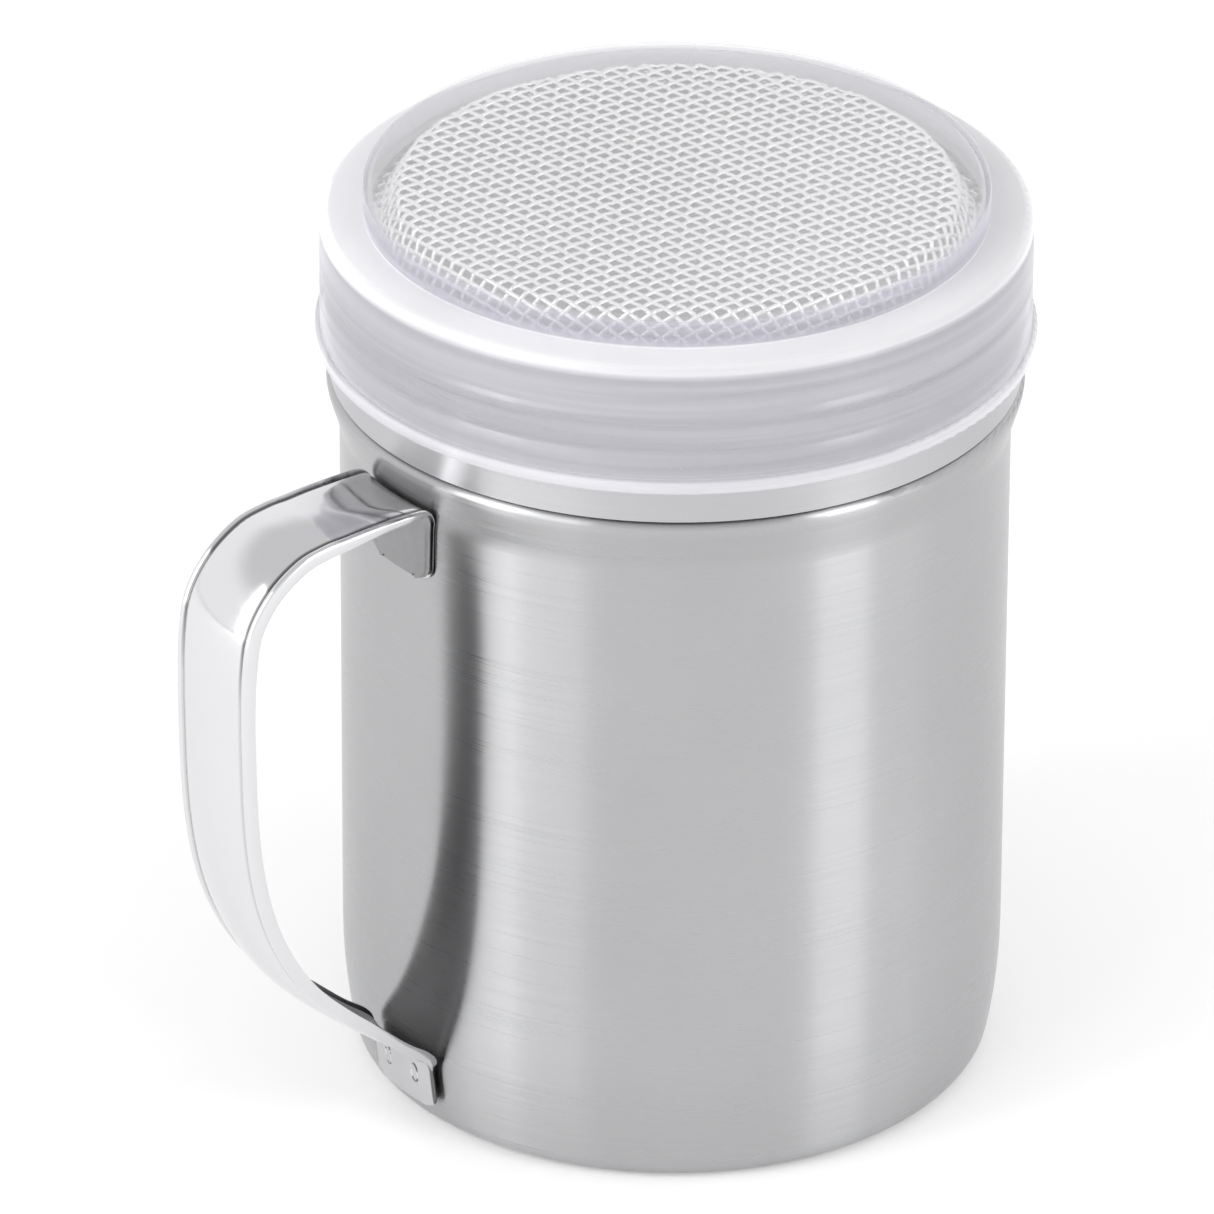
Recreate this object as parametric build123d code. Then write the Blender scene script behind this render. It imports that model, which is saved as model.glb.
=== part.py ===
from build123d import *
import math
import os

# Flour sifter: a drawn steel cup with a pressed strap handle, a push-on sieve lid and a press-on
# plastic dust cover. Sizes are in millimetres. The origin is the centre of the flat base, +Z is up
# and the handle points along -X.

# Cup, one sheet drawn to shape
body_radius = 35.0          # outside of the straight wall
cup_sheet = 0.6
base_corner_radius = 2.8    # between the flat base and the taper
taper_radius = 61.0         # long bend that draws the wall in above the base
taper_start = 13.8          # height where that bend leaves the straight wall
shoulder_start = 72.6       # height where the wall starts to flare
shoulder_slope = 17.0       # degrees between the flare and the wall
shoulder_reach = 1.35       # how far the shoulder stands out from the wall
shoulder_hollow = 5.0       # radius of the concave bend under the flare
shoulder_crown = 3.0        # radius of the convex bend over the flare
shoulder_edge = 0.8         # radius of the turn from the shoulder to the ledge
neck_reach = 0.4            # how far the neck stands out from the wall
neck_height = 15.2          # from the ledge to the top of the rim
rim_curl = 0.75             # outside radius of the inward curl around the mouth
curl_turn = 200.0           # degrees that the rim is curled through

# Handle, one pressed strap with hemmed edges
strap_width = 12.2
strap_sheet = 0.8
strap_crown = 0.8           # rise of the outer face between its edges
hem_depth = 1.4             # from the outer edge line to the hem's edge
grip_reach = 24.0           # from the wall to the outer edge line of the grip
strap_lift = 1.8            # from the shoulder's start up to the upper run's outer edge line
top_bend = 11.0             # radius of the upper bend, along the outer edge line
low_bend = 36.0             # radius of the lower bend, along the outer edge line
low_corner = 29.3           # height where the grip's and the lower run's edge lines would meet
low_slope = 41.0            # degrees that the lower run falls below level
strap_end_gap = 0.15        # from the strap's run to the wall, where only the feet touch
strap_run_in = 3.0          # how far the run is drawn past the wall before it is trimmed to it
foot_width = 10.6
foot_corner = 1.6           # radius of the feet's free corners
upper_foot_depth = 8.2      # from the outer edge line down to the upper foot's end
lower_foot_end = 3.0        # height of the lower foot's end

# Spot welds, two side by side on each foot
weld_radius = 1.0
weld_spacing = 4.7
weld_dent = 0.15            # depth of the weld's face below the foot's face
weld_root = 0.3             # how far the nugget reaches into the wall
upper_weld_drop = 4.8       # from the upper run's outer edge line to the upper welds
lower_weld_height = 5.9

# Sieve lid
lid_fit = 0.15              # radial clearance between the neck and the lid's skirt
lid_seat = 0.2              # height left above the ledge and above the rim
ring_sheet = 0.5
ring_corner = 1.2           # outside radius between the skirt and the top flange
ring_beads = [7.0, 11.4]    # heights of the rolled beads above the ledge
bead_width = 1.8
bead_rise = 0.22
window_radius = 31.9        # inside edge of the top flange
clamp_sheet = 0.6
clamp_lip = 1.6             # depth of the clamp ring's turned-down inner edge
cloth_press = 0.8           # thickness of the wire cloth's flattened margin
cloth_margin_gap = 0.1      # between the cloth's cut edge and the bend inside the skirt
cloth_solid = 0.25          # thickness of a plain sheet as heavy as the woven wire
cloth_window_gap = 0.6      # between the window's edge and the middle of the sloping cloth
dome_slope_run = 3.0        # from the window's edge in to where the sloping rim meets the top
dome_rise = 2.8             # from the ring's top to the cloth at that edge
dome_crown = 0.3            # further rise at the centre
dome_edge = 1.5             # radius of the bend at that edge

# Dust cover
cover_wall = 0.6
cover_top_wall = 0.7
cover_fit = 0.1             # radial clearance over the ring's beads
cover_seat = 0.2            # height left above the ring
cover_length = 14.2         # from the lip's lower edge to the outer flat
lip_reach = 0.55            # how far the lip stands out from the cover's wall
lip_height = 1.5
panel_margin = 0.6          # how far the raised centre reaches out past the lid's window
panel_rise = 3.6            # from the outer flat to the raised centre
cover_corner = 1.0
panel_corner = 1.3
lip_corner = 0.4

slope = math.radians(shoulder_slope)
shoulder_radius = body_radius + shoulder_reach
neck_radius = body_radius + neck_reach
shoulder_bends = (shoulder_hollow + shoulder_crown) * (1 - math.cos(slope))
flare_length = (shoulder_reach - shoulder_bends) / math.sin(slope)
shoulder_top = (shoulder_start + (shoulder_hollow + shoulder_crown) * math.sin(slope)
                + flare_length * math.cos(slope))
ledge = shoulder_top + shoulder_edge
rim = ledge + neck_height

skirt_radius = neck_radius + lid_fit
ring_radius = skirt_radius + ring_sheet
clamp_base = rim + lid_seat
cloth_base = clamp_base + clamp_sheet
flange_base = cloth_base + cloth_press
ring_top = flange_base + ring_sheet

dome_radius = window_radius - dome_slope_run

cover_bore = ring_radius + bead_rise + cover_fit
cover_radius = cover_bore + cover_wall
cover_top = ring_top + cover_seat + cover_top_wall
panel_radius = window_radius + panel_margin
panel_top = cover_top + panel_rise

strap_top = shoulder_start + strap_lift
upper_weld_height = strap_top - upper_weld_drop
grip = body_radius + grip_reach
taper_drop = taper_start - base_corner_radius
taper_turn = math.asin(taper_drop / (taper_radius - base_corner_radius))
base_radius = (body_radius - taper_radius
               + (taper_radius - base_corner_radius) * math.cos(taper_turn))


def spun(outline):
    """Solid made by turning a flat outline, drawn as radius and height, about the Z axis."""
    return revolve(Plane.XZ * make_face(outline), Axis.Z)


def wall_edges(grow):
    """The cup's straight wall and taper, from the taper's foot up, moved out by grow."""
    turn = math.degrees(taper_turn)
    taper = CenterArc((body_radius - taper_radius, taper_start), taper_radius + grow, -turn, turn)
    wall = Line(taper @ 1, (body_radius + grow, shoulder_start))
    return [taper, wall]


def shoulder_edges(grow):
    """The flared shoulder and its ledge, from the straight wall to the neck, moved out by grow."""
    hollow = CenterArc((body_radius + shoulder_hollow, shoulder_start),
                       shoulder_hollow - grow, 180, -shoulder_slope)
    crown = CenterArc((shoulder_radius - shoulder_crown, shoulder_top),
                      shoulder_crown + grow, -shoulder_slope, shoulder_slope)
    flare = Line(hollow @ 1, crown @ 0)
    edge = CenterArc((shoulder_radius - shoulder_edge, shoulder_top), shoulder_edge + grow, 0, 90)
    step = Line(edge @ 1, (neck_radius + grow, ledge + grow))
    return [hollow, flare, crown, edge, step]


def cup_edges(grow):
    """One face of the cup's sheet, from the base's centre to the foot of the rim's curl."""
    base = Line((0, -grow), (base_radius, -grow))
    corner = CenterArc((base_radius, base_corner_radius), base_corner_radius + grow,
                       -90, 90 - math.degrees(taper_turn))
    neck = Line((neck_radius + grow, ledge + grow), (neck_radius + grow, rim - rim_curl))
    return [base, corner] + wall_edges(grow) + shoulder_edges(grow) + [neck]


def wall_band(inner, outer):
    """Space between two surfaces that follow the taper, wall and flare at inner and outer distances."""
    inside = wall_edges(inner) + shoulder_edges(inner)[:2]
    outside = wall_edges(outer) + shoulder_edges(outer)[:2]
    ends = [Line(inside[0] @ 0, outside[0] @ 0), Line(inside[-1] @ 1, outside[-1] @ 1)]
    return spun(inside + outside + ends)


def weld_nuggets(height):
    """Two spot-weld nuggets that join a foot to the wall."""
    band = wall_band(-weld_root, strap_sheet - weld_dent)
    reach = body_radius
    nuggets = []
    for side in (-1, 1):
        place = Location((-body_radius, side * weld_spacing / 2, height), (0, 90, 0))
        nuggets.append(band & place * Cylinder(weld_radius, reach))
    return Part() + nuggets


def cup_body():
    """Deep-drawn cup: flat base, taper, straight wall, flared shoulder, ledge, neck, curled rim."""
    curl_place = (neck_radius - rim_curl, rim - rim_curl)
    curl_outside = CenterArc(curl_place, rim_curl, 0, curl_turn)
    curl_inside = CenterArc(curl_place, rim_curl - cup_sheet, 0, curl_turn)
    curl_end = Line(curl_outside @ 1, curl_inside @ 1)
    centre = Line((0, 0), (0, cup_sheet))
    sheet = cup_edges(0) + [curl_outside, curl_end, curl_inside] + cup_edges(-cup_sheet) + [centre]
    cup = spun(sheet)
    for height in (upper_weld_height, lower_weld_height):
        cup -= weld_nuggets(height)
    return cup


def strap_section():
    """Section across the strap: a crowned face with a hem turned in along each edge."""
    half = strap_width / 2
    inner_half = half - strap_sheet
    face = ThreePointArc((-half, 0), (0, -strap_crown), (half, 0))
    back = ThreePointArc((-inner_half, strap_sheet), (0, strap_sheet - strap_crown),
                         (inner_half, strap_sheet))
    hems = []
    for side in (-1, 1):
        hems.append(Polyline((side * half, 0), (side * half, hem_depth),
                             (side * inner_half, hem_depth), (side * inner_half, strap_sheet)))
    return make_face([face, back] + hems)


def foot(low, high):
    """Foot of the strap: a plate that lies on the wall, with its free corners rounded."""
    plate = Rectangle(foot_width, high - low, align=(Align.CENTER, Align.MIN))
    free_end = Axis.Y
    plate = fillet(plate.vertices().group_by(free_end)[0], foot_corner)
    sheet = extrude(Plane((-body_radius, 0, low), x_dir=(0, -1, 0), z_dir=(-1, 0, 0)) * plate,
                    amount=body_radius / 2, both=True)
    return sheet & wall_band(0, strap_sheet)


def handle_strip():
    """Strap handle: upper run, grip and lower run in one sweep, and a foot at each end."""
    inside = body_radius - strap_run_in
    drop = (grip - inside) * math.tan(math.radians(low_slope))
    route = FilletPolyline((-inside, strap_top), (-grip, strap_top), (-grip, low_corner),
                           (-inside, low_corner - drop), radius=(top_bend, low_bend))
    route = Plane.XZ * route
    start = Plane(route @ 0, x_dir=(0, 1, 0), z_dir=route % 0)
    strap = sweep(start * strap_section(), path=route)
    room = cup_edges(strap_end_gap)
    top = room[-1] @ 1
    room += [Line(top, (0, top.Y)), Line((0, top.Y), (0, -strap_end_gap))]
    strap -= spun(room)
    joint = strap_crown / 4
    wall_meet = low_corner - grip_reach * math.tan(math.radians(low_slope))
    upper = foot(strap_top - upper_foot_depth, strap_top + joint)
    lower = foot(lower_foot_end, wall_meet + joint)
    strap = strap + upper + lower
    for height in (upper_weld_height, lower_weld_height):
        strap -= weld_nuggets(height)
        strap -= weld_sockets(height)
    return strap


def weld_sockets(height):
    """The dents that the welding tips leave in a foot, over the nuggets."""
    sockets = []
    for side in (-1, 1):
        place = Location((-body_radius - strap_sheet, side * weld_spacing / 2, height), (0, 90, 0))
        sockets.append(place * Cylinder(weld_radius, 2 * strap_sheet))
    return wall_band(strap_sheet - weld_dent, 2 * strap_sheet) & (Part() + sockets)


def skirt_edges(radius, low, high):
    """One face of the lid's skirt, with its rolled beads."""
    edges = []
    start = (radius, low)
    for bead in ring_beads:
        middle = ledge + bead
        bead_low = (radius, middle - bead_width / 2)
        bead_high = (radius, middle + bead_width / 2)
        edges.append(Line(start, bead_low))
        edges.append(ThreePointArc(bead_low, (radius + bead_rise, middle), bead_high))
        start = bead_high
    edges.append(Line(start, (radius, high)))
    return edges


def sieve_ring():
    """Pressed lid ring: beaded skirt, rounded corner and flat top flange around the window."""
    low = ledge + lid_seat
    outside = skirt_edges(ring_radius, low, ring_top - ring_corner)
    inside = skirt_edges(skirt_radius, low, ring_top - ring_corner)
    centre = (ring_radius - ring_corner, ring_top - ring_corner)
    corner = CenterArc(centre, ring_corner, 0, 90)
    inner_corner = CenterArc(centre, ring_corner - ring_sheet, 0, 90)
    flange = Polyline(corner @ 1, (window_radius, ring_top), (window_radius, flange_base),
                      inner_corner @ 1)
    bottom = Line((skirt_radius, low), (ring_radius, low))
    return spun(outside + inside + [corner, inner_corner, flange, bottom])


def mesh_screen():
    """Wire cloth as a plain sheet: flattened margin, sloping rim and a slightly crowned top."""
    margin_radius = window_radius - cloth_window_gap
    middle = cloth_base + cloth_press / 2
    edge_height = ring_top + dome_rise
    underside = FilletPolyline((0, edge_height + dome_crown), (dome_radius, edge_height),
                               (margin_radius, middle), radius=dome_edge)
    dome = spun(offset(underside, amount=cloth_solid, side=Side.LEFT).edges())
    cut_radius = ring_radius - ring_corner - cloth_margin_gap
    band = Rectangle(cut_radius - margin_radius, cloth_press, align=Align.MIN)
    margin = revolve(Plane.XZ * (Pos(margin_radius, cloth_base) * band), Axis.Z)
    return dome + margin


def mesh_clamp_ring():
    """Flat ring pressed into the skirt under the cloth's margin, its inner edge turned down."""
    outline = Polyline((window_radius, clamp_base - clamp_lip), (window_radius, cloth_base),
                       (skirt_radius, cloth_base), (skirt_radius, clamp_base),
                       (window_radius + clamp_sheet, clamp_base),
                       (window_radius + clamp_sheet, clamp_base - clamp_lip), close=True)
    return spun(outline)


def dust_cover():
    """Moulded cover: lip around the mouth, wall, outer flat and raised centre over the cloth."""
    low = cover_top - cover_length
    outline = Polyline((cover_bore, low), (cover_radius + lip_reach, low),
                       (cover_radius + lip_reach, low + lip_height),
                       (cover_radius, low + lip_height), (cover_radius, cover_top),
                       (panel_radius, cover_top), (panel_radius, panel_top), (0, panel_top),
                       (0, panel_top - cover_top_wall),
                       (panel_radius - cover_wall, panel_top - cover_top_wall),
                       (panel_radius - cover_wall, cover_top - cover_top_wall),
                       (cover_bore, cover_top - cover_top_wall), close=True)
    face = make_face(outline)

    def corners(face, radius, height):
        spot = Vector(radius, height)
        return [v for v in face.vertices() if (Vector(v.X, v.Y) - spot).length < 1e-6]

    for height in (low, low + lip_height):
        face = fillet(corners(face, cover_radius + lip_reach, height), lip_corner)
    face = fillet(corners(face, cover_radius, cover_top), cover_corner)
    face = fillet(corners(face, panel_radius, panel_top), panel_corner)
    face = fillet(corners(face, panel_radius - cover_wall, panel_top - cover_top_wall),
                  panel_corner - cover_wall)
    return revolve(Plane.XZ * face, Axis.Z)


os.makedirs("parts", exist_ok=True)
nodes = {
    "cup_body": cup_body(),
    "handle_strip": handle_strip(),
    "upper_handle_welds": weld_nuggets(upper_weld_height),
    "lower_handle_welds": weld_nuggets(lower_weld_height),
    "sieve_ring": sieve_ring(),
    "mesh_screen": mesh_screen(),
    "mesh_clamp_ring": mesh_clamp_ring(),
    "dust_cover": dust_cover(),
}
for name, shape in nodes.items():
    export_step(shape, "parts/" + name + ".step")
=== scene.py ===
import math

import bpy
from mathutils import Matrix, Vector


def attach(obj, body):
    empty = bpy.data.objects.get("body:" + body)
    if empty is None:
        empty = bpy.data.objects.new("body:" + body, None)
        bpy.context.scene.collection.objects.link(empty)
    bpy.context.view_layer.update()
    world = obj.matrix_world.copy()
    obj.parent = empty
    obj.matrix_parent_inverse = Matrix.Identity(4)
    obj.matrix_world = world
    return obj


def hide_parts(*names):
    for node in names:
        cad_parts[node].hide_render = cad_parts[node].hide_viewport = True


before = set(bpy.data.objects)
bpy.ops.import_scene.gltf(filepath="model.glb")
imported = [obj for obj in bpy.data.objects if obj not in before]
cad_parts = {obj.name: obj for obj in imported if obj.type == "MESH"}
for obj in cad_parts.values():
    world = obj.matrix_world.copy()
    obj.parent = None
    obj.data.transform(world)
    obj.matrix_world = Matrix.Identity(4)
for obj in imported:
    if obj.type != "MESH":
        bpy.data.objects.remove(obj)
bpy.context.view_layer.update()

# Studio: a long lens looking down from the side of the handle, a pale seamless floor, even grey
# light all round, and a tall soft box on each side whose reflections run down the cup as bands.
MM = 0.001
scene = bpy.context.scene
scene.view_settings.view_transform = "Standard"

aim = Vector((0, 0, 48 * MM))
camera_distance = 1.3
camera_height = math.radians(28.37)     # how far the view looks down
camera_turn = math.radians(-36.7)       # from straight in front towards the handle
camera_roll = math.radians(0.41)
toward_camera = Vector((math.sin(camera_turn) * math.cos(camera_height),
                        -math.cos(camera_turn) * math.cos(camera_height),
                        math.sin(camera_height)))
bpy.ops.object.camera_add(location=aim + toward_camera * camera_distance)
camera = bpy.context.object
camera.name = "camera"
camera.rotation_euler = (Matrix.Rotation(camera_turn, 3, "Z")
                         @ Matrix.Rotation(math.pi / 2 - camera_height, 3, "X")
                         @ Matrix.Rotation(camera_roll, 3, "Z")).to_euler()
camera.data.sensor_width = 36
camera.data.lens = 366.6
camera.data.shift_x = -0.055
camera.data.shift_y = 0.0144
camera.data.clip_start = 0.05
scene.camera = camera


def linear(code):
    """An sRGB hex colour as linear red, green, blue and alpha."""
    parts = [int(code[i:i + 2], 16) / 255 for i in (1, 3, 5)]
    return tuple(p / 12.92 if p <= 0.04045 else ((p + 0.055) / 1.055) ** 2.4
                 for p in parts) + (1.0,)


def new_material(name):
    """A material with an empty node tree."""
    material = bpy.data.materials.new(name)
    material.use_nodes = True
    material.node_tree.nodes.clear()
    return material


def add_node(material, kind, sockets, **settings):
    """A node of this kind with its settings, and its sockets given values or linked to outputs."""
    node = material.node_tree.nodes.new("ShaderNode" + kind)
    for name, value in settings.items():
        setattr(node, name, value)
    for name, value in sockets.items():
        if isinstance(value, bpy.types.NodeSocket):
            material.node_tree.links.new(value, node.inputs[name])
        else:
            node.inputs[name].default_value = value
    return node


def finish_with(material, shader):
    """Joins the shader to the material's output."""
    add_node(material, "OutputMaterial", {"Surface": shader.outputs[0]})
    return material


# seamless studio paper, matt and almost white
floor_paper = new_material("matt studio paper")
finish_with(floor_paper, add_node(floor_paper, "BsdfPrincipled", {
    "Base Color": linear("#f6f6f6"), "Roughness": 0.95, "Specular IOR Level": 0.1,
    "Emission Color": linear("#ffffff"), "Emission Strength": 0.12}))
bpy.ops.object.select_all(action="DESELECT")
bpy.ops.mesh.primitive_plane_add(size=6)
floor = bpy.context.object
floor.name = "studio_floor"
floor.data.materials.append(floor_paper)

# even grey light from all round, weaker from overhead, so that faces turned up look greyer
BRIGHT_BELOW, BRIGHTNESS_BELOW = 0.44, 1.22
DIM_ABOVE, BRIGHTNESS_ABOVE = 0.74, 0.85
world = bpy.data.worlds.new("studio")
scene.world = world
world.use_nodes = True
backdrop = world.node_tree.nodes["Background"]
backdrop.inputs["Color"].default_value = linear("#f2f2f3")
facing = add_node(world, "TexCoord", {}).outputs["Generated"]
upward = add_node(world, "SeparateXYZ", {"Vector": facing}).outputs["Z"]
glow = add_node(world, "MapRange", {"Value": upward, "From Min": BRIGHT_BELOW,
                                    "From Max": DIM_ABOVE, "To Min": BRIGHTNESS_BELOW,
                                    "To Max": BRIGHTNESS_ABOVE},
                interpolation_type="SMOOTHSTEP")
world.node_tree.links.new(glow.outputs[0], backdrop.inputs["Strength"])

# soft boxes: turn from the camera in degrees (positive to its right), distance, width, watts
BOX_HEIGHT = 1.3
BOX_CENTRE = Vector((0, 0, 0.55))
BOX_AIM = Vector((0, 0, 0.35))
soft_boxes = [("left_box", -62, 1.15, 0.44, 5.3), ("left_fill", -42, 1.2, 0.60, 3.0),
              ("right_box", 56, 1.15, 0.40, 4.4), ("right_fill", 74, 1.2, 0.60, 1.4)]
for name, turn, distance, width, power in soft_boxes:
    around = camera_turn + math.radians(turn)
    place = Vector((math.sin(around), -math.cos(around), 0)) * distance + BOX_CENTRE
    bpy.ops.object.light_add(type="AREA", location=place)
    box = bpy.context.object
    box.name = name
    box.data.shape = "RECTANGLE"
    box.data.size = width
    box.data.size_y = BOX_HEIGHT
    box.data.energy = power
    box.visible_camera = False
    box.rotation_euler = (BOX_AIM - place).to_track_quat("-Z", "Y").to_euler()

# Cup: one deep-drawn stainless sheet, polished on a spindle, so hair-fine lines run round it. They
# smear every reflection up and down and keep it sharp from side to side, as broad vertical bands.
CUP_STEEL = "#b6b6b7"
CUP_ROUGHNESS = 0.29
LINE_LENGTH = 45
CLOUD_SIZE = 22
# the abrasive's own scratches are about 0.02 mm wide, so the lines are drawn many times coarser
CUP_LINE_WIDTH = 0.3
CUP_LINE_DEPTH = 0.004


def turned_steel(name, colour, rough, stretch, line_width, line_depth):
    """Stainless steel polished as it turns: fine lines round Z, and faint cloudy patches."""
    steel = new_material(name)
    place = add_node(steel, "TexCoord", {}).outputs["Object"]
    line_scale = (1000 / LINE_LENGTH, 1000 / LINE_LENGTH, 1000 / line_width)
    lines_place = add_node(steel, "Mapping", {"Vector": place, "Scale": line_scale})
    lines = add_node(steel, "TexNoise", {"Vector": lines_place.outputs[0], "Scale": 1.0,
                                         "Detail": 4.0, "Roughness": 0.7})
    clouds = add_node(steel, "TexNoise", {"Vector": place, "Scale": 1000 / CLOUD_SIZE,
                                          "Detail": 3.0})
    shine = add_node(steel, "MapRange", {"Value": lines.outputs["Fac"], "From Min": 0.3,
                                         "From Max": 0.7, "To Min": rough - 0.03,
                                         "To Max": rough + 0.03})
    patch = add_node(steel, "MapRange", {"Value": clouds.outputs["Fac"], "From Min": 0.3,
                                         "From Max": 0.7, "To Min": 0.97, "To Max": 1.03})
    tint = add_node(steel, "MapRange", {"Value": lines.outputs["Fac"], "From Min": 0.25,
                                        "From Max": 0.75, "To Min": 0.97, "To Max": 1.03})
    shade = add_node(steel, "Math", {0: patch.outputs[0], 1: tint.outputs[0]}, operation="MULTIPLY")
    skin = add_node(steel, "VectorMath", {0: linear(colour)[:3], 3: shade.outputs[0]},
                    operation="SCALE")
    scratches = add_node(steel, "Bump", {"Height": lines.outputs["Fac"], "Strength": 0.35,
                                         "Distance": line_depth * MM})
    upright = add_node(steel, "CombineXYZ", {"X": 0.0, "Y": 0.0, "Z": 1.0})
    return finish_with(steel, add_node(steel, "BsdfPrincipled", {
        "Base Color": skin.outputs[0], "Metallic": 1.0, "Roughness": shine.outputs[0],
        "Anisotropic": stretch, "Tangent": upright.outputs[0], "Normal": scratches.outputs[0]}))


cup_steel = turned_steel("spindle-polished stainless steel", CUP_STEEL, CUP_ROUGHNESS, 1.0,
                         CUP_LINE_WIDTH, CUP_LINE_DEPTH)
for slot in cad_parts["cup_body"].material_slots:
    slot.material = cup_steel

# Handle: one strip of stainless sheet, pressed to a crowned face with hemmed edges and bent to a
# loop. It flattens towards the cup, and each end is folded to a flat foot that lies on the wall.
# Its section changes all along, so its grid is placed row by row, then given its thickness.
STRAP_CROWN = 0.8      # how far the middle of the face stands above its edges
STRAP_SHEET = 0.5
STRAP_EDGE = 0.12      # rounding of the sheet's cut edges
HEM_TURN = 0.2         # drop of the corner where a hem turns down
HEM_BEAD = 0.11        # height of the bead beside a hem
FACE_INSET = 1.15      # from a hem to the crowned face
CREASE = 5.15          # from the strap's middle to the crease between bead and face
CROWN_ROUND = 0.06     # rounding where the crown is flattened towards the cup
WALL_GAP = 0.08        # left under the upper foot
UPPER_FOOT = 6         # stations on the upper foot
ROWS_BETWEEN = 5
ACROSS = 12

# stations along the outer face, from the upper foot's end round to the lower foot's end:
# distance from the cup's axis, height, half width, most crown, hem depth, how far it hugs the wall
strap_stations = [
    (35.0, 66.15, 3.60, 0.00, 0.20, 1.0), (35.0, 66.5, 4.60, 0.00, 0.20, 1.0),
    (35.0, 67.2, 5.15, 0.00, 0.20, 1.0), (35.0, 68.4, 5.30, 0.00, 0.20, 1.0),
    (35.0, 72.2, 5.35, 0.00, 0.12, 1.0), (35.15, 73.4, 5.60, 0.00, 0.12, 1.0),
    (35.7, 74.5, 5.80, 0.00, 0.20, 1.0), (36.5, 75.05, 5.95, 0.00, 0.60, 0.95),
    (37.8, 75.2, 6.05, 0.08, 0.95, 0.8), (40.2, 75.2, 6.05, 0.30, 1.00, 0.4),
    (43.0, 75.1, 6.10, 0.55, 1.10, 0.1), (45.8, 74.9, 6.10, 0.85, 1.20, 0.0),
    (48.4, 74.75, 6.10, 1.5, 1.30, 0.0), (51.8, 73.95, 6.10, 2.0, 1.40, 0.0),
    (55.4, 71.45, 6.10, 2.0, 1.40, 0.0), (57.9, 67.8, 6.10, 2.0, 1.40, 0.0),
    (58.75, 63.4, 6.10, 2.0, 1.40, 0.0), (58.95, 58.0, 6.10, 2.0, 1.30, 0.0),
    (58.9, 52.5, 6.10, 2.0, 1.30, 0.0), (58.75, 47.0, 6.10, 2.0, 1.30, 0.0),
    (58.3, 41.5, 6.10, 2.0, 1.30, 0.0), (57.4, 36.2, 6.10, 2.0, 1.30, 0.0),
    (55.9, 31.3, 6.10, 2.0, 1.30, 0.0), (53.8, 26.9, 6.10, 2.0, 1.30, 0.0),
    (51.2, 23.0, 6.10, 1.7, 1.30, 0.0), (47.7, 19.3, 6.10, 1.2, 1.30, 0.0),
    (43.1, 15.3, 6.10, 0.70, 1.20, 0.1), (39.5, 12.2, 6.05, 0.30, 1.00, 0.5),
    (37.2, 10.3, 6.05, 0.08, 1.05, 0.9), (36.1, 9.2, 5.95, 0.00, 0.75, 1.0),
    (35.62, 8.2, 5.35, 0.00, 0.15, 1.0), (35.44, 6.8, 5.30, 0.00, 0.20, 1.0),
    (35.24, 5.2, 5.30, 0.00, 0.20, 1.0), (35.08, 4.1, 5.20, 0.00, 0.20, 1.0),
    (34.97, 3.5, 4.60, 0.00, 0.20, 1.0), (34.90, 3.1, 3.70, 0.00, 0.20, 1.0)]


def smooth_run(stations, steps):
    """The stations with steps rows from each to the next, on a curve through them all."""
    run = []
    ends = [stations[0]] + stations + [stations[-1]]
    for before, start, end, after in zip(ends, ends[1:], ends[2:], ends[3:]):
        for step in range(steps):
            t = step / steps
            run.append([0.5 * (2 * b + (c - a) * t + (2 * a - 5 * b + 4 * c - d) * t ** 2
                               + (3 * b - a - 3 * c + d) * t ** 3)
                        for a, b, c, d in zip(before, start, end, after)])
    run.append(list(stations[-1]))
    return run


def lesser(a, b, round_off):
    """The smaller of two heights, with the crease between them rounded off."""
    return 0.5 * (a + b - math.sqrt((a - b) ** 2 + round_off ** 2) + round_off)


strap_rows = smooth_run(strap_stations, ROWS_BETWEEN)
strap_points = []
for index, (reach, height, half, cap, hem, hug) in enumerate(strap_rows):
    before = strap_rows[max(index - 1, 0)]
    after = strap_rows[min(index + 1, len(strap_rows) - 1)]
    along = Vector((after[0] - before[0], after[1] - before[1])).normalized()
    outward = Vector((-along.y, along.x))
    bead = HEM_BEAD * min(hem, 1)
    turn = HEM_TURN * min(hem, 1)
    # up the hem, over the bead and down into the crease
    border = [(half, -hem), (half, -turn), (half - 0.07, -0.25 * turn), (half - 0.25, bead),
              (half - 0.5, 1.2 * bead), (half - 0.78, 0.0), (half - 0.95, -bead)]
    across = [(-side, rise) for side, rise in border]
    for step in range(ACROSS + 1):
        share = 2 * step / ACROSS - 1
        rise = 0.0
        if cap > 0.01:
            rise = max(lesser(STRAP_CROWN * (1 - share ** 2), cap, CROWN_ROUND), 0.0)
        across.append((share * (half - FACE_INSET), rise))
    across += reversed(border)
    for side, rise in across:
        away = reach + outward.x * rise
        hugging = math.sqrt(away ** 2 - side ** 2)
        away = away + (hugging - away) * hug
        gap = WALL_GAP if index < UPPER_FOOT * ROWS_BETWEEN else 0.0
        strap_points.append((-(away + gap) * MM, side * MM, (height + outward.y * rise) * MM))
columns = len(across)
strap_faces = [(row * columns + c, row * columns + c + 1, (row + 1) * columns + c + 1,
                (row + 1) * columns + c)
               for row in range(len(strap_rows) - 1) for c in range(columns - 1)]
strap_mesh = bpy.data.meshes.new("handle_strap")
strap_mesh.from_pydata(strap_points, [], strap_faces)
handle_strap = bpy.data.objects.new("handle_strap", strap_mesh)
scene.collection.objects.link(handle_strap)


def apply_modifiers(piece):
    """Applies the piece's modifiers in order."""
    bpy.ops.object.select_all(action="DESELECT")
    piece.select_set(True)
    bpy.context.view_layer.objects.active = piece
    for modifier in list(piece.modifiers):
        bpy.ops.object.modifier_apply(modifier=modifier.name)


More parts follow.
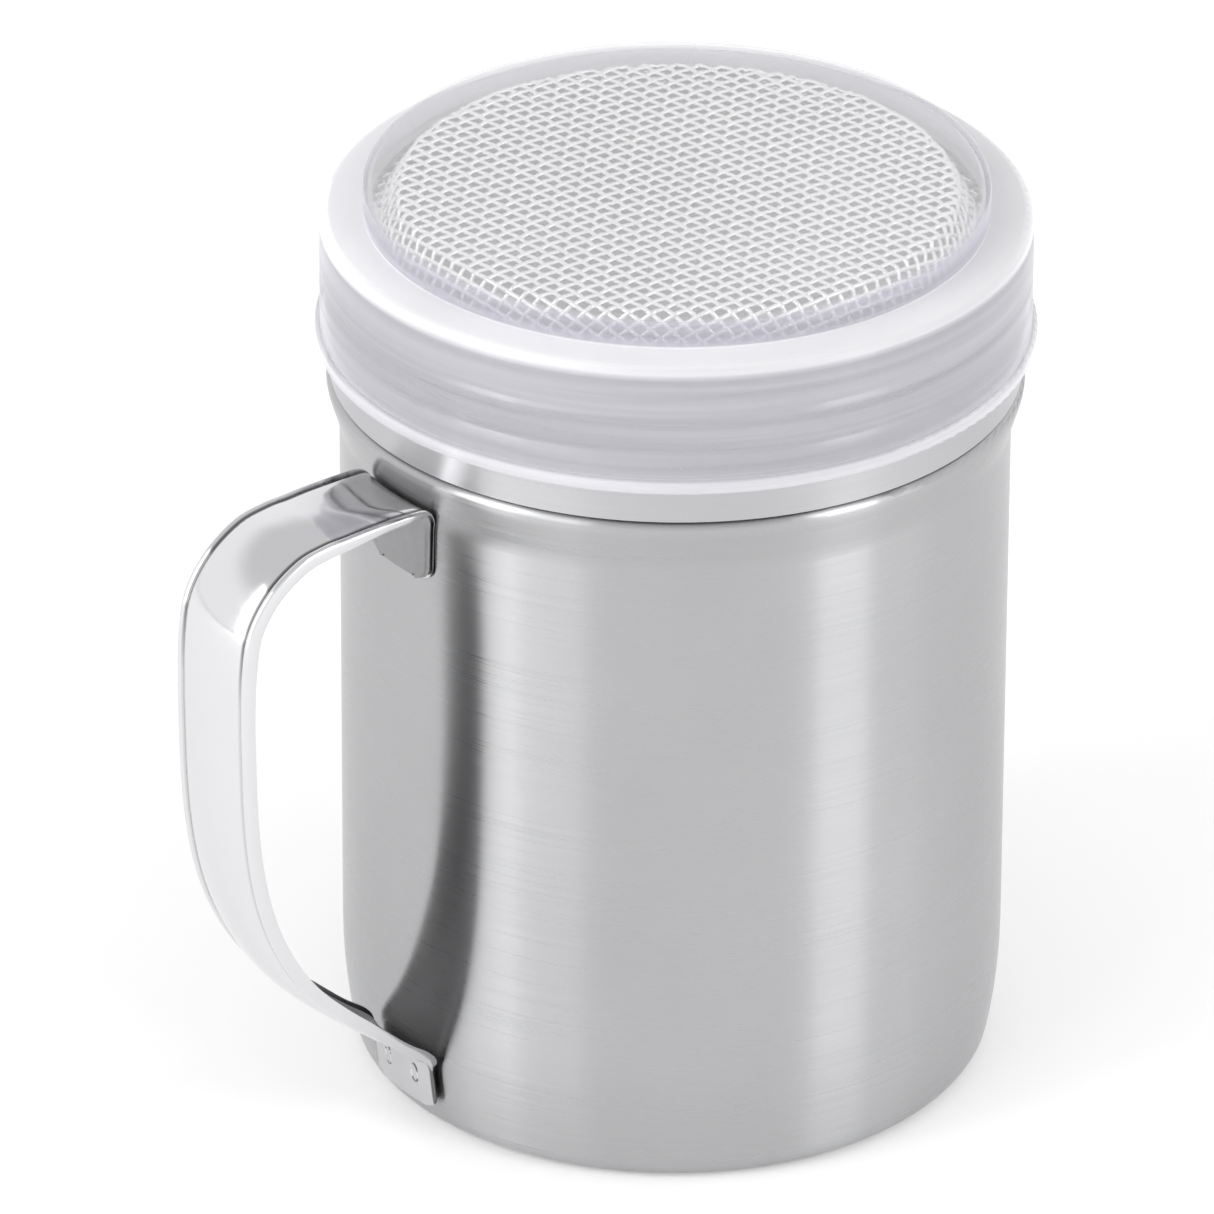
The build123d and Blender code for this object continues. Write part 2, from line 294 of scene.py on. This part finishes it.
# two finishes: the first slot is the outside of the loop, the second its inside
strap_mesh.materials.append(None)
strap_mesh.materials.append(None)
thick = handle_strap.modifiers.new("sheet", "SOLIDIFY")
thick.material_offset = 1
thick.thickness = STRAP_SHEET * MM
thick.offset = -1
thick.use_even_offset = True
soften = handle_strap.modifiers.new("rounded edges", "BEVEL")
soften.width = STRAP_EDGE * MM
soften.segments = 2
soften.limit_method = "ANGLE"
soften.angle_limit = math.radians(38)
apply_modifiers(handle_strap)
bpy.ops.object.shade_smooth()

# polished with a buffing wheel: mirror-bright, with faint ripples from the press; the wheel's own
# scratches are about 0.01 mm wide, so its haze is drawn as patches a hundred times coarser
RIPPLE_SIZE = 7
BUFFING_SIZE = 1.1
CREASE_CORE = 0.10         # half width of the darkest painted crease shade, and where it ends
CREASE_END = 0.30
LOOP_MIDDLE = 43           # height of the loop's middle
BEND_START = 16            # the bends begin this far above and below it
BEND_FULL = 24
CUP_SHADE_START = -47.5         # from here along X towards the cup the colour darkens: painted shade and the cup's reflection
CUP_SHADE_END = -38
handle_steel = new_material("buffed stainless steel")
place = add_node(handle_steel, "TexCoord", {}).outputs["Object"]
ripples = add_node(handle_steel, "TexNoise", {"Vector": place, "Scale": 1000 / RIPPLE_SIZE,
                                              "Detail": 2.0})
buffing = add_node(handle_steel, "TexNoise", {"Vector": place, "Scale": 1000 / BUFFING_SIZE,
                                              "Detail": 3.0})
relief = add_node(handle_steel, "Bump", {"Height": ripples.outputs["Fac"], "Strength": 0.3,
                                         "Distance": 0.06 * MM})
haze = add_node(handle_steel, "MapRange", {"Value": buffing.outputs["Fac"], "From Min": 0.3,
                                           "From Max": 0.7, "To Min": 0.09, "To Max": 0.15})
# painted shade: the creases beside the hems are painted dark, most of all round the bends, and the
# metal close to the cup is painted darker, as shade and the cup's reflection
spot = add_node(handle_steel, "SeparateXYZ", {"Vector": place})
side = add_node(handle_steel, "Math", {0: spot.outputs["Y"]}, operation="ABSOLUTE")
off_crease = add_node(handle_steel, "Math", {0: side.outputs[0], 1: CREASE * MM},
                      operation="SUBTRACT")
near_crease = add_node(handle_steel, "Math", {0: off_crease.outputs[0]}, operation="ABSOLUTE")
crease = add_node(handle_steel, "MapRange", {"Value": near_crease.outputs[0],
                                             "From Min": CREASE_CORE * MM,
                                             "From Max": CREASE_END * MM,
                                             "To Min": 1.0, "To Max": 0.0})
middle = add_node(handle_steel, "Math", {0: spot.outputs["Z"], 1: LOOP_MIDDLE * MM},
                  operation="SUBTRACT")
bends = add_node(handle_steel, "Math", {0: middle.outputs[0]}, operation="ABSOLUTE")
bend_shade_weight = add_node(handle_steel, "MapRange", {"Value": bends.outputs[0], "From Min": BEND_START * MM,
                                           "From Max": BEND_FULL * MM, "To Min": 0.22,
                                           "To Max": 0.85})
# painted shade in the creases, strongest round the bends
painted_crease_shade = add_node(handle_steel, "Math", {0: crease.outputs[0], 1: bend_shade_weight.outputs[0]},
               operation="MULTIPLY")
# painted shade and the cup's reflection: the colour darkens towards the cup
cup_shade = add_node(handle_steel, "MapRange", {"Value": spot.outputs["X"],
                                             "From Min": CUP_SHADE_START * MM,
                                             "From Max": CUP_SHADE_END * MM})
steel_and_cup_shade = add_node(handle_steel, "Mix", {0: cup_shade.outputs[0], 6: linear("#dcdcdd"),
                                         7: linear("#c8c8c9")}, data_type="RGBA")
skin = add_node(handle_steel, "Mix", {0: painted_crease_shade.outputs[0], 6: steel_and_cup_shade.outputs[2],
                                      7: linear("#454546")}, data_type="RGBA")
finish_with(handle_steel, add_node(handle_steel, "BsdfPrincipled", {
    "Base Color": skin.outputs[2], "Metallic": 1.0, "Roughness": haze.outputs[0],
    "Normal": relief.outputs[0]}))
handle_strap.data.materials[0] = handle_steel

# the wheel doesn't reach the inside of the loop, which keeps the mill's matt finish, and its darker
# grey colour is painted shade inside the loop; the rolls' own grain is under 0.1 mm, and is drawn
# as coarse as the haze
shaded_mill_steel = new_material("cold-rolled stainless steel")
place = add_node(shaded_mill_steel, "TexCoord", {}).outputs["Object"]
rolling = add_node(shaded_mill_steel, "TexNoise", {"Vector": place, "Scale": 1000 / BUFFING_SIZE,
                                            "Detail": 4.0})
matt = add_node(shaded_mill_steel, "MapRange", {"Value": rolling.outputs["Fac"], "From Min": 0.3,
                                         "From Max": 0.7, "To Min": 0.26, "To Max": 0.36})
finish_with(shaded_mill_steel, add_node(shaded_mill_steel, "BsdfPrincipled", {
    "Base Color": linear("#949495"), "Metallic": 1.0, "Roughness": matt.outputs[0]}))
handle_strap.data.materials[1] = shaded_mill_steel
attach(handle_strap, "cup")
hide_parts("handle_strip")

# Spot welds: two on each foot, where the copper tips pressed and fused the sheets. Each is a small
# upright dent, pitted dark on the lower foot and polished over on the upper one.
WELD_HALF_WIDTH = 0.62
WELD_HALF_HEIGHT = 1.25
WELD_SPACING = 4.7
WELD_RIM = 0.14        # flat rim round the dent, the slope inside it, and how deep that goes
WELD_SLOPE = 0.2
WELD_DENT = 0.1
PIT_SIZE = 0.9         # real pits are about 0.3 mm across, so they are drawn coarser
weld_steel = new_material("pitted spot weld")
place = add_node(weld_steel, "TexCoord", {}).outputs["Object"]
pits = add_node(weld_steel, "TexNoise", {"Vector": place, "Scale": 1000 / PIT_SIZE, "Detail": 3.0})
tint = add_node(weld_steel, "MapRange", {"Value": pits.outputs["Fac"], "From Min": 0.45,
                                         "From Max": 0.56})
colours = add_node(weld_steel, "Mix", {0: tint.outputs[0], 6: linear("#6c6b6d"),
                                       7: linear("#dcdbda")}, data_type="RGBA")
relief = add_node(weld_steel, "Bump", {"Height": pits.outputs["Fac"], "Strength": 0.8,
                                       "Distance": 0.12 * MM})
finish_with(weld_steel, add_node(weld_steel, "BsdfPrincipled", {
    "Base Color": colours.outputs[2], "Metallic": 1.0, "Roughness": 0.3,
    "Normal": relief.outputs[0]}))

# the mark's distance from the cup's axis, height, lean in degrees, thickness and finish
for name, node, reach, height, lean, depth, skin in (
        ("lower_weld_marks", "lower_handle_welds", 35.33, 6.7, -7.0, 0.3, weld_steel),
        ("upper_weld_marks", "upper_handle_welds", 35.00, 69.6, 0.0, 0.24, handle_steel)):
    marks = []
    for side in (-1, 1):
        y = side * WELD_SPACING / 2
        around = math.asin(y / reach)
        bpy.ops.object.select_all(action="DESELECT")
        bpy.ops.mesh.primitive_cylinder_add(
            vertices=28, radius=WELD_HALF_HEIGHT * MM, depth=depth * MM,
            location=(-reach * math.cos(around) * MM, y * MM, height * MM),
            rotation=(0, math.radians(-90 + lean), -around))
        mark = bpy.context.object
        mark.scale = (1, WELD_HALF_WIDTH / WELD_HALF_HEIGHT, 1)
        bpy.ops.object.transform_apply(location=False, rotation=False, scale=True)
        bpy.ops.object.mode_set(mode="EDIT")
        bpy.ops.mesh.select_all(action="DESELECT")
        bpy.ops.object.mode_set(mode="OBJECT")
        for face in mark.data.polygons:
            face.select = face.normal.z > 0.9
        bpy.ops.object.mode_set(mode="EDIT")
        bpy.ops.mesh.select_mode(type="FACE")
        bpy.ops.mesh.inset(thickness=WELD_RIM * MM, depth=0)
        bpy.ops.mesh.inset(thickness=WELD_SLOPE * MM, depth=-WELD_DENT * MM)
        bpy.ops.object.mode_set(mode="OBJECT")
        marks.append(mark)
    bpy.ops.object.select_all(action="DESELECT")
    for mark in marks:
        mark.select_set(True)
    bpy.context.view_layer.objects.active = marks[0]
    bpy.ops.object.join()
    welds = bpy.context.object
    welds.name = name
    bpy.ops.object.transform_apply(location=True, rotation=True, scale=True)
    round_over = welds.modifiers.new("soft edge", "BEVEL")
    round_over.width = 0.05 * MM
    round_over.segments = 2
    round_over.limit_method = "ANGLE"
    round_over.angle_limit = math.radians(30)
    apply_modifiers(welds)
    bpy.ops.object.shade_smooth()
    welds.data.materials.append(skin)
    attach(welds, "cup")
    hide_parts(node)

# Sieve lid ring: a thin stainless skirt pressed to shape, with two rolled beads and a flat flange.
# Turned lines run round it. It shows grey and streaky through the cover.
LID_LINE_WIDTH = 0.5       # real lines are about 0.1 mm wide, drawn coarser to show
LID_LINE_DEPTH = 0.006
lid_steel = turned_steel("turned stainless sheet", "#bcbcbe", 0.30, 0.8,
                         LID_LINE_WIDTH, LID_LINE_DEPTH)
for name in ("sieve_ring", "mesh_clamp_ring"):
    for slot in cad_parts[name].material_slots:
        slot.material = lid_steel

# Wire cloth: bright drawn stainless wire in a plain weave, pressed to a flat-topped dome. Each wire
# passes over and under the ones that cross it. The cut ends lie flat between the lid's rings.
ROW_PITCH = 1.65
COLUMN_PITCH = 1.63
WIRE_RADIUS = 0.27
WEAVE_LIFT = 0.07      # how far a wire rises and dips at each crossing
WEAVE_TURN = math.radians(3.0)
CLOTH_TOP = 99.3
CLOTH_CROWN = 0.25     # the flat top stands this much higher in its middle
KNEE_RADIUS = 28.8     # where the slope leaves the top, and where it meets the flat margin
FOOT_RADIUS = 31.2
MARGIN_HEIGHT = 95.4
MARGIN_PRESS = 0.6     # the rings press the margin's weave flatter
CLOTH_REACH = 37.5
SLOPE_SQUEEZE = 0.7    # the press draws the cells on the slope closer together
STEPS_PER_PITCH = 6
END_SEAM = 0.002       # gap that is closed between a wire and the caps on its ends

slope_run = FOOT_RADIUS - KNEE_RADIUS
slope_drop = CLOTH_TOP - MARGIN_HEIGHT
slope_length = math.hypot(slope_run, slope_drop)
slope_cloth = slope_length / SLOPE_SQUEEZE


def on_cloth(across, along, lift):
    """Where a spot on the flat cloth, lifted off it by lift, comes to on the pressed dome."""
    flat = math.hypot(across, along)
    if flat < KNEE_RADIUS:
        reach, height = flat, CLOTH_TOP + CLOTH_CROWN * (1 - (flat / KNEE_RADIUS) ** 2)
        tip_out, tip_up = 0.0, 1.0
    elif flat < KNEE_RADIUS + slope_cloth:
        share = (flat - KNEE_RADIUS) / slope_cloth
        reach = KNEE_RADIUS + slope_run * share
        height = CLOTH_TOP - slope_drop * share
        tip_out, tip_up = slope_drop / slope_length, slope_run / slope_length
    else:
        reach, height = FOOT_RADIUS + flat - KNEE_RADIUS - slope_cloth, MARGIN_HEIGHT
        tip_out, tip_up = 0.0, 1.0
        lift *= MARGIN_PRESS
    turn = math.atan2(along, across) + WEAVE_TURN
    reach += lift * tip_out
    return (reach * math.cos(turn) * MM, reach * math.sin(turn) * MM, (height + lift * tip_up) * MM)


def weave_wires(name, pitch, crossing_pitch, crossing):
    """All the wires that run one way: crossing is 1 for those along the cloth and -1 across it."""
    curve = bpy.data.curves.new(name, "CURVE")
    curve.dimensions = "3D"
    curve.bevel_depth = WIRE_RADIUS * MM
    curve.bevel_resolution = 2
    curve.use_fill_caps = True
    side_count = int(CLOTH_REACH / pitch)
    for index in range(-side_count, side_count):
        offset = (index + 0.5) * pitch
        count = int(math.sqrt(CLOTH_REACH ** 2 - offset ** 2) / crossing_pitch * STEPS_PER_PITCH)
        if count < 1:
            continue
        wire = curve.splines.new("POLY")
        wire.points.add(2 * count)
        for step in range(-count, count + 1):
            run = step * crossing_pitch / STEPS_PER_PITCH
            phase = math.pi * (run / crossing_pitch - 0.5 + index)
            lift = crossing * WEAVE_LIFT * math.cos(phase)
            spot = on_cloth(run, offset, lift) if crossing > 0 else on_cloth(offset, run, lift)
            wire.points[step + count].co = (*spot, 1)
    wires = bpy.data.objects.new(name, curve)
    scene.collection.objects.link(wires)
    bpy.ops.object.select_all(action="DESELECT")
    wires.select_set(True)
    bpy.context.view_layer.objects.active = wires
    bpy.ops.object.convert(target="MESH")
    bpy.ops.object.mode_set(mode="EDIT")
    bpy.ops.mesh.select_all(action="SELECT")
    bpy.ops.mesh.remove_doubles(threshold=END_SEAM * MM)
    bpy.ops.object.mode_set(mode="OBJECT")
    bpy.ops.object.shade_smooth()
    return bpy.context.object


# the die leaves the wire bright; its own marks are hair-fine, so they are drawn as faint patches
# about as long as the wire is thick
DRAW_MARK = 0.45
wire_steel = new_material("bright drawn steel wire")
place = add_node(wire_steel, "TexCoord", {}).outputs["Object"]
draw_marks = add_node(wire_steel, "TexNoise", {"Vector": place, "Scale": 1000 / DRAW_MARK,
                                               "Detail": 2.0})
shine = add_node(wire_steel, "MapRange", {"Value": draw_marks.outputs["Fac"], "From Min": 0.3,
                                          "From Max": 0.7, "To Min": 0.26, "To Max": 0.38})
finish_with(wire_steel, add_node(wire_steel, "BsdfPrincipled", {
    "Base Color": linear("#fcfcfc"), "Metallic": 1.0, "Roughness": shine.outputs[0]}))
for name, pitch, crossing_pitch, crossing in (("mesh_column_wires", COLUMN_PITCH, ROW_PITCH, -1),
                                              ("mesh_row_wires", ROW_PITCH, COLUMN_PITCH, 1)):
    wires = weave_wires(name, pitch, crossing_pitch, crossing)
    wires.data.materials.clear()
    wires.data.materials.append(wire_steel)
    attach(wires, "sieve_lid")
    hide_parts("mesh_screen")

# Dust cover: moulded in natural polypropylene, milky where the wall is thick and nearly clear over
# the thin raised centre. Fine flow lines run round it, and its edges catch the light white.
COVER_LOW = 83.0
COVER_HIGH = 100.8
FLOW_LENGTH = 70
FLOW_WIDTH = 1.3       # real flow lines are about 0.3 mm wide, drawn coarser to show
EDGE_HAZE = 1.8        # how much denser the wall looks where it is seen edge-on
# height, colour and how far one skin of the wall hides what is behind it; the colours are whiter on
# the lip and on the faces that turn up and greyer on the upright wall and slope, which is partly
# the plastic's tint and partly painted light and shade
cover_tint_and_shade = [(83.0, "#dedee2", 0.50), (84.3, "#dedee2", 0.50), (84.7, "#c2c1c7", 0.38),
               (95.6, "#c6c5cb", 0.38), (96.4, "#e6e6e9", 0.76), (97.25, "#ebebed", 0.76),
               (97.45, "#cac8d2", 0.54), (99.85, "#cecdd6", 0.50), (100.1, "#fcfcfd", 0.235),
               (100.8, "#fcfcfd", 0.24)]
cover_plastic = new_material("translucent moulded polypropylene")
place = add_node(cover_plastic, "TexCoord", {}).outputs["Object"]
split = add_node(cover_plastic, "SeparateXYZ", {"Vector": place})
rise = add_node(cover_plastic, "MapRange", {"Value": split.outputs["Z"], "From Min": COVER_LOW * MM,
                                            "From Max": COVER_HIGH * MM})
tint_and_shade = add_node(cover_plastic, "ValToRGB", {"Fac": rise.outputs[0]})
while len(tint_and_shade.color_ramp.elements) < len(cover_tint_and_shade):
    tint_and_shade.color_ramp.elements.new(0.5)
for element, (height, colour, hiding) in zip(tint_and_shade.color_ramp.elements, cover_tint_and_shade):
    element.position = (height - COVER_LOW) / (COVER_HIGH - COVER_LOW)
    element.color = linear(colour)[:3] + (hiding,)
flow_scale = (1000 / FLOW_LENGTH, 1000 / FLOW_LENGTH, 1000 / FLOW_WIDTH)
flow_place = add_node(cover_plastic, "Mapping", {"Vector": place, "Scale": flow_scale})
flow = add_node(cover_plastic, "TexNoise", {"Vector": flow_place.outputs[0], "Scale": 1.0,
                                            "Detail": 3.0})
streaks = add_node(cover_plastic, "MapRange", {"Value": flow.outputs["Fac"], "From Min": 0.3,
                                               "From Max": 0.7, "To Min": 0.90, "To Max": 1.10})
skin = add_node(cover_plastic, "VectorMath", {0: tint_and_shade.outputs["Color"], 3: streaks.outputs[0]},
                operation="SCALE")
edge_glow = add_node(cover_plastic, "LayerWeight", {"Blend": 0.35})
edge = add_node(cover_plastic, "Math", {0: edge_glow.outputs["Facing"], 1: 3.0}, operation="POWER")
thicker = add_node(cover_plastic, "Math", {0: edge.outputs[0], 1: EDGE_HAZE, 2: 1.0},
                   operation="MULTIPLY_ADD")
dense = add_node(cover_plastic, "Math", {0: tint_and_shade.outputs["Alpha"], 1: thicker.outputs[0]},
                 operation="MULTIPLY")
covering = add_node(cover_plastic, "Math", {0: dense.outputs[0], 1: streaks.outputs[0]},
                    operation="MULTIPLY", use_clamp=True)
grain = add_node(cover_plastic, "Bump", {"Height": flow.outputs["Fac"], "Strength": 0.12,
                                         "Distance": 0.02 * MM})
finish_with(cover_plastic, add_node(cover_plastic, "BsdfPrincipled", {
    "Base Color": skin.outputs[0], "Roughness": 0.3, "IOR": 1.49,
    "Alpha": covering.outputs[0], "Normal": grain.outputs[0]}))
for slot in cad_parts["dust_cover"].material_slots:
    slot.material = cover_plastic
